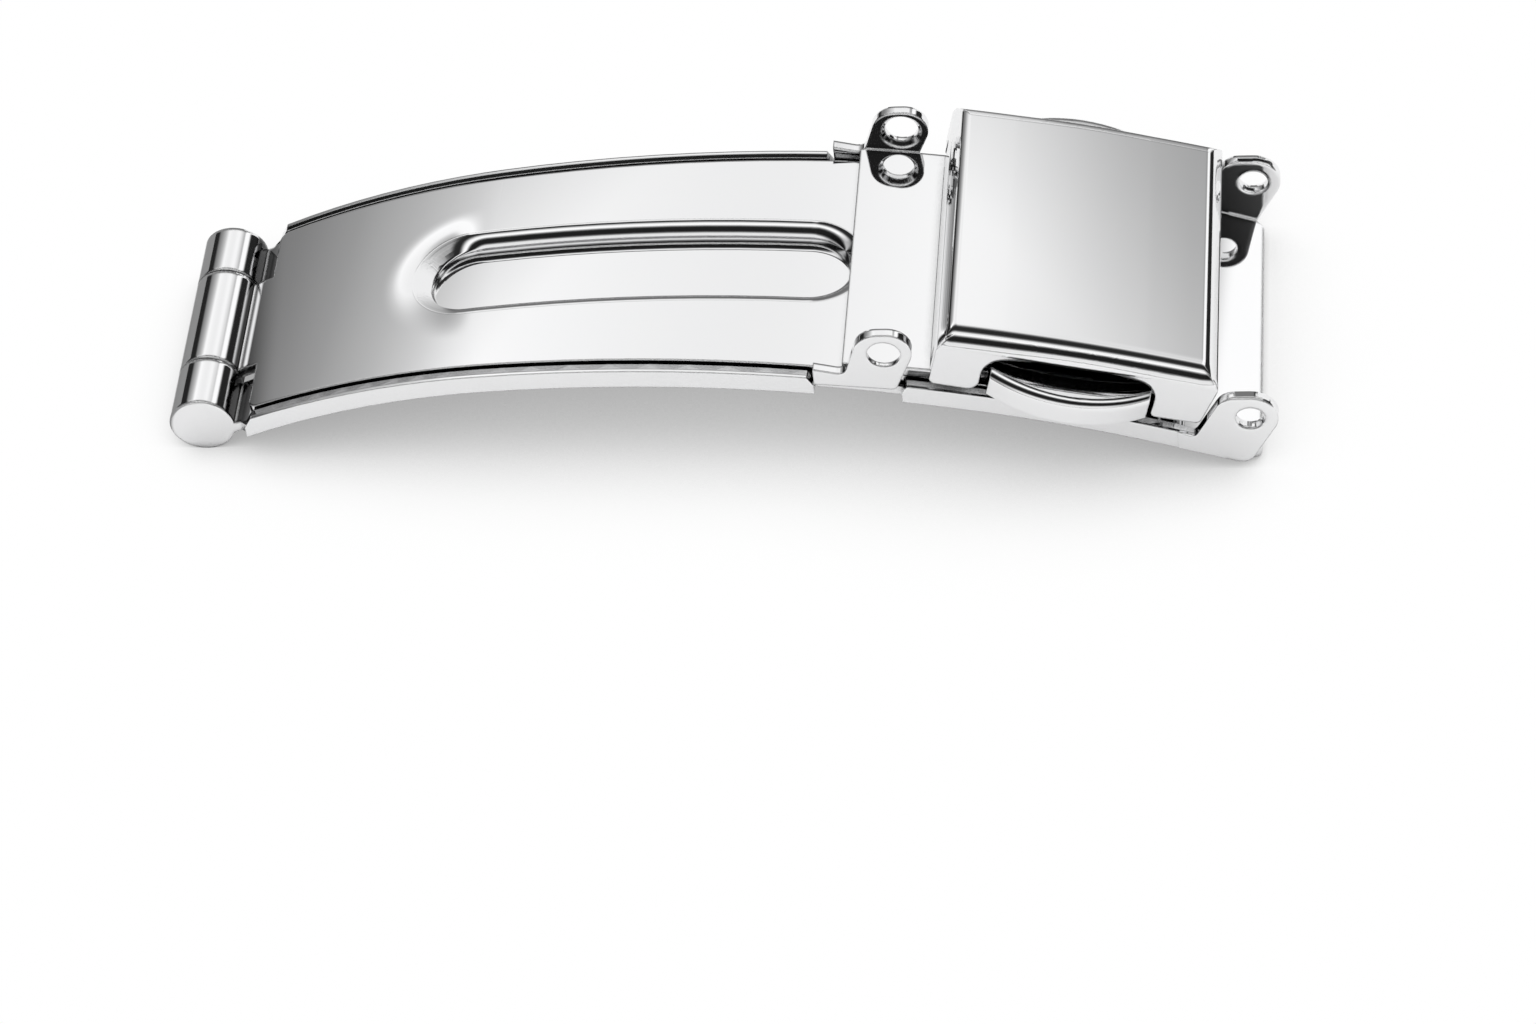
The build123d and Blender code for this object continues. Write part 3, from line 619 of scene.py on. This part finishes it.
def steel_roughness(flow, place, normal, cloud, roughness, haze, side_roughness):
    """A haze in clouds and fine grain, rougher on side faces where the finish has them."""
    fine = flow.node("ShaderNodeTexNoise", {}, {
        "Vector": place, "Scale": fine_scale, "Detail": fine_detail})
    rough = cloud * haze + fine * (haze * fine_share) + (roughness - haze * haze_middle)
    if side_roughness:
        side = (normal.part(1) * place.part(1).maths("SIGN")).ramp(*side_facing)
        rough = side.blend(rough, fine * side_grain + side_roughness)
    return rough


def steel_colour(flow, place, normal, cloud, shade, crevice):
    """Grey steel, a trace cooler in places, and painted nearly black with shade where it is closed in."""
    reach, closed, wide_open = crevice
    # Painted shade: ambient occlusion darkens the colour where other steel closes a point in
    open_air = flow.node("ShaderNodeAmbientOcclusion", {"samples": crevice_samples}, {
        "Distance": reach}, output="AO")
    # The side of the barrel that faces the leaves lies in a narrow groove, and its colour is painted with
    # dark shade there
    groove_shade = place.part(0).ramp(*groove_shade_place) * normal.part(0).ramp(*groove_shade_facing)
    depth = open_air.ramp(closed, wide_open) * (1 - groove_shade)
    crevice_shade_colour = shade * crevice_level
    cool = [shade * share for share in cool_share]
    plain = cloud.blend_colours((*cool, 1), (shade, shade, shade, 1))
    return depth.blend_colours((crevice_shade_colour, crevice_shade_colour, crevice_shade_colour, 1), plain)


def broken_edges(flow, place, turned, edge, end_edge):
    """Edges rounded by `edge` metres, and by `end_edge` at the clasp's two ends if it is given."""
    broken = flow.node("ShaderNodeBevel", {"samples": edge_samples}, {"Radius": edge, "Normal": turned})
    if end_edge:
        # The knuckles and the ears are tumbled rounder than the rims between them
        rounder = flow.node("ShaderNodeBevel", {"samples": edge_samples}, {
            "Radius": end_edge, "Normal": turned})
        ends = (place.part(0) - ends_middle).maths("ABSOLUTE").ramp(*ends_from)
        broken = ends.blend_vectors(broken, rounder)
    # The barrel's end faces are ground flush with the pin
    from_axis = flow.joined(x=place.part(0) - hinge_x, z=place.part(2) - hinge_z)
    flush = from_axis.vector("LENGTH", output=1).ramp(*pin_face)
    return flush.blend_vectors(broken, turned)


def steel(name, shade, roughness, haze, edge, crevice, form=as_made, side_roughness=None, end_edge=None):
    """Steel with a haze that drifts over the surface and edges broken by `edge` metres."""
    finish = bpy.data.materials.new(name)
    flow = empty_tree(finish)
    place = flow.node("ShaderNodeTexCoord", output="Object")
    normal = own_normal(flow)
    cloud = flow.node("ShaderNodeTexNoise", {}, {
        "Vector": place, "Scale": cloud_scale, "Detail": cloud_detail})
    turned = world_normal(form(flow, place, normal))
    surface = flow.node("ShaderNodeBsdfPrincipled", {}, {
        "Base Color": steel_colour(flow, place, normal, cloud, shade, crevice),
        "Metallic": 1.0,
        "Roughness": steel_roughness(flow, place, normal, cloud, roughness, haze, side_roughness),
        "Normal": broken_edges(flow, place, turned, edge, end_edge),
    })
    flow.node("ShaderNodeOutputMaterial", {}, {"Surface": surface})
    print(name, "with edges broken by", edge * 1000, "mm")
    return finish


print("steel ready")

# %% [markdown]
# ## The finishes
# The leaves, the frame, the cover and the buttons share one mirror polish. They differ in how far
# their edges are broken, how early their gaps go dark and which bends they need. The latch inside
# is plain rolled sheet and stays satin, the pins are ground, and the springs are drawn wire. A
# crevice is three numbers: how far to look for other steel, the share of open air at which it is
# darkest, and the share from which it is clear.

# %% Mix the finishes
mirror_polish = {"shade": 0.86, "roughness": 0.035, "haze": 0.015}
plain_crevice = (0.0006, 0.12, 0.55)
leaf_crevice = (0.0010, 0.30, 0.70)
frame_crevice = (0.0010, 0.28, 0.62)
button_crevice = (0.0016, 0.45, 0.80)
leaf_side = 0.12
cover_side = 0.16
tumbled_edge = 0.00026

leaf_steel = steel(
    "leaf_steel", **mirror_polish, edge=0.00010, crevice=leaf_crevice,
    form=folded_rim, side_roughness=leaf_side, end_edge=tumbled_edge)
frame_steel = steel(
    "frame_steel", **mirror_polish, edge=0.00016, crevice=frame_crevice,
    form=rolled_sheet, side_roughness=leaf_side)
bead_steel = steel(
    "bead_steel", **mirror_polish, edge=0.00012, crevice=plain_crevice,
    form=pressed_bead, side_roughness=leaf_side, end_edge=tumbled_edge)
cover_steel = steel(
    "cover_steel", **mirror_polish, edge=0.00014, crevice=plain_crevice,
    form=rolled_lip, side_roughness=cover_side)
button_steel = steel("button_steel", **mirror_polish, edge=0.00012, crevice=button_crevice)
satin_steel = steel("satin_steel", 0.74, 0.28, 0.08, 0.00005, plain_crevice)
pin_steel = steel("pin_steel", 0.86, 0.12, 0.04, 0.00004, plain_crevice)
spring_steel = steel("spring_steel", 0.55, 0.22, 0.06, 0.00002, plain_crevice)

# %% [markdown]
# ## Giving each piece its finish
# The pieces arrive with plain materials from the CAD model. Each one's own slots are filled with
# its finish, and the latch inside, which isn't named here, gets the satin one.

# %% Give each piece its finish
finishes = {
    "outer_leaf": leaf_steel,
    "inner_leaf": bead_steel,
    "cover_shell": cover_steel,
    "lug_frame": frame_steel,
    "latch_post": button_steel,
    "near_button_cap": button_steel,
    "far_button_cap": button_steel,
    "leaf_hinge_pin": pin_steel,
    "cover_hinge_pin": pin_steel,
    "near_button_spring": spring_steel,
    "far_button_spring": spring_steel,
}
for name, piece in frame["nodes"].items():
    for slot in piece.material_slots:
        slot.material = finishes.get(name, satin_steel)
print("finishes:", {name: finishes.get(name, satin_steel).name for name in sorted(frame["nodes"])})

# %% [markdown]
# ## The springs under the buttons
# Two small coils push the buttons out again. A real coil shortens when its button is pressed, which
# a rigid solid can't do. Here each coil is shown by a copy of its own mesh, which rides on the cover
# in place of the CAD coil, and its length is measured from its fixed end.

# %% Copy the springs onto the cover
joints = frame["record"]["behaviour"]["joints"]
travel = {entry["name"]: entry["range_m"][1] for entry in joints if "range_m" in entry}
for side in ("near", "far"):
    node = f"{side}_button_spring"
    joint = f"{side}_button_press"
    lowest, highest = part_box(node)
    fixed_end, moving_end = sorted((lowest[1], highest[1]), key=abs)
    length = abs(moving_end - fixed_end)
    coil = bpy.data.objects.new(f"{side}_spring_coil", frame["nodes"][node].data.copy())
    bpy.context.scene.collection.objects.link(coil)
    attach(coil, "cover")
    1 - travel[joint] / length
    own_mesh(coil)
    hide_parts(node)
    print(coil.name, "is", round(length * 1000, 2), "mm long and shortens by", travel[joint] * 1000, "mm")

# %% [markdown]
# ## Finish
# The view is left at Standard, so a white written as 1 is shown as white.

# %% View settings
bpy.context.scene.view_settings.view_transform = "Standard"
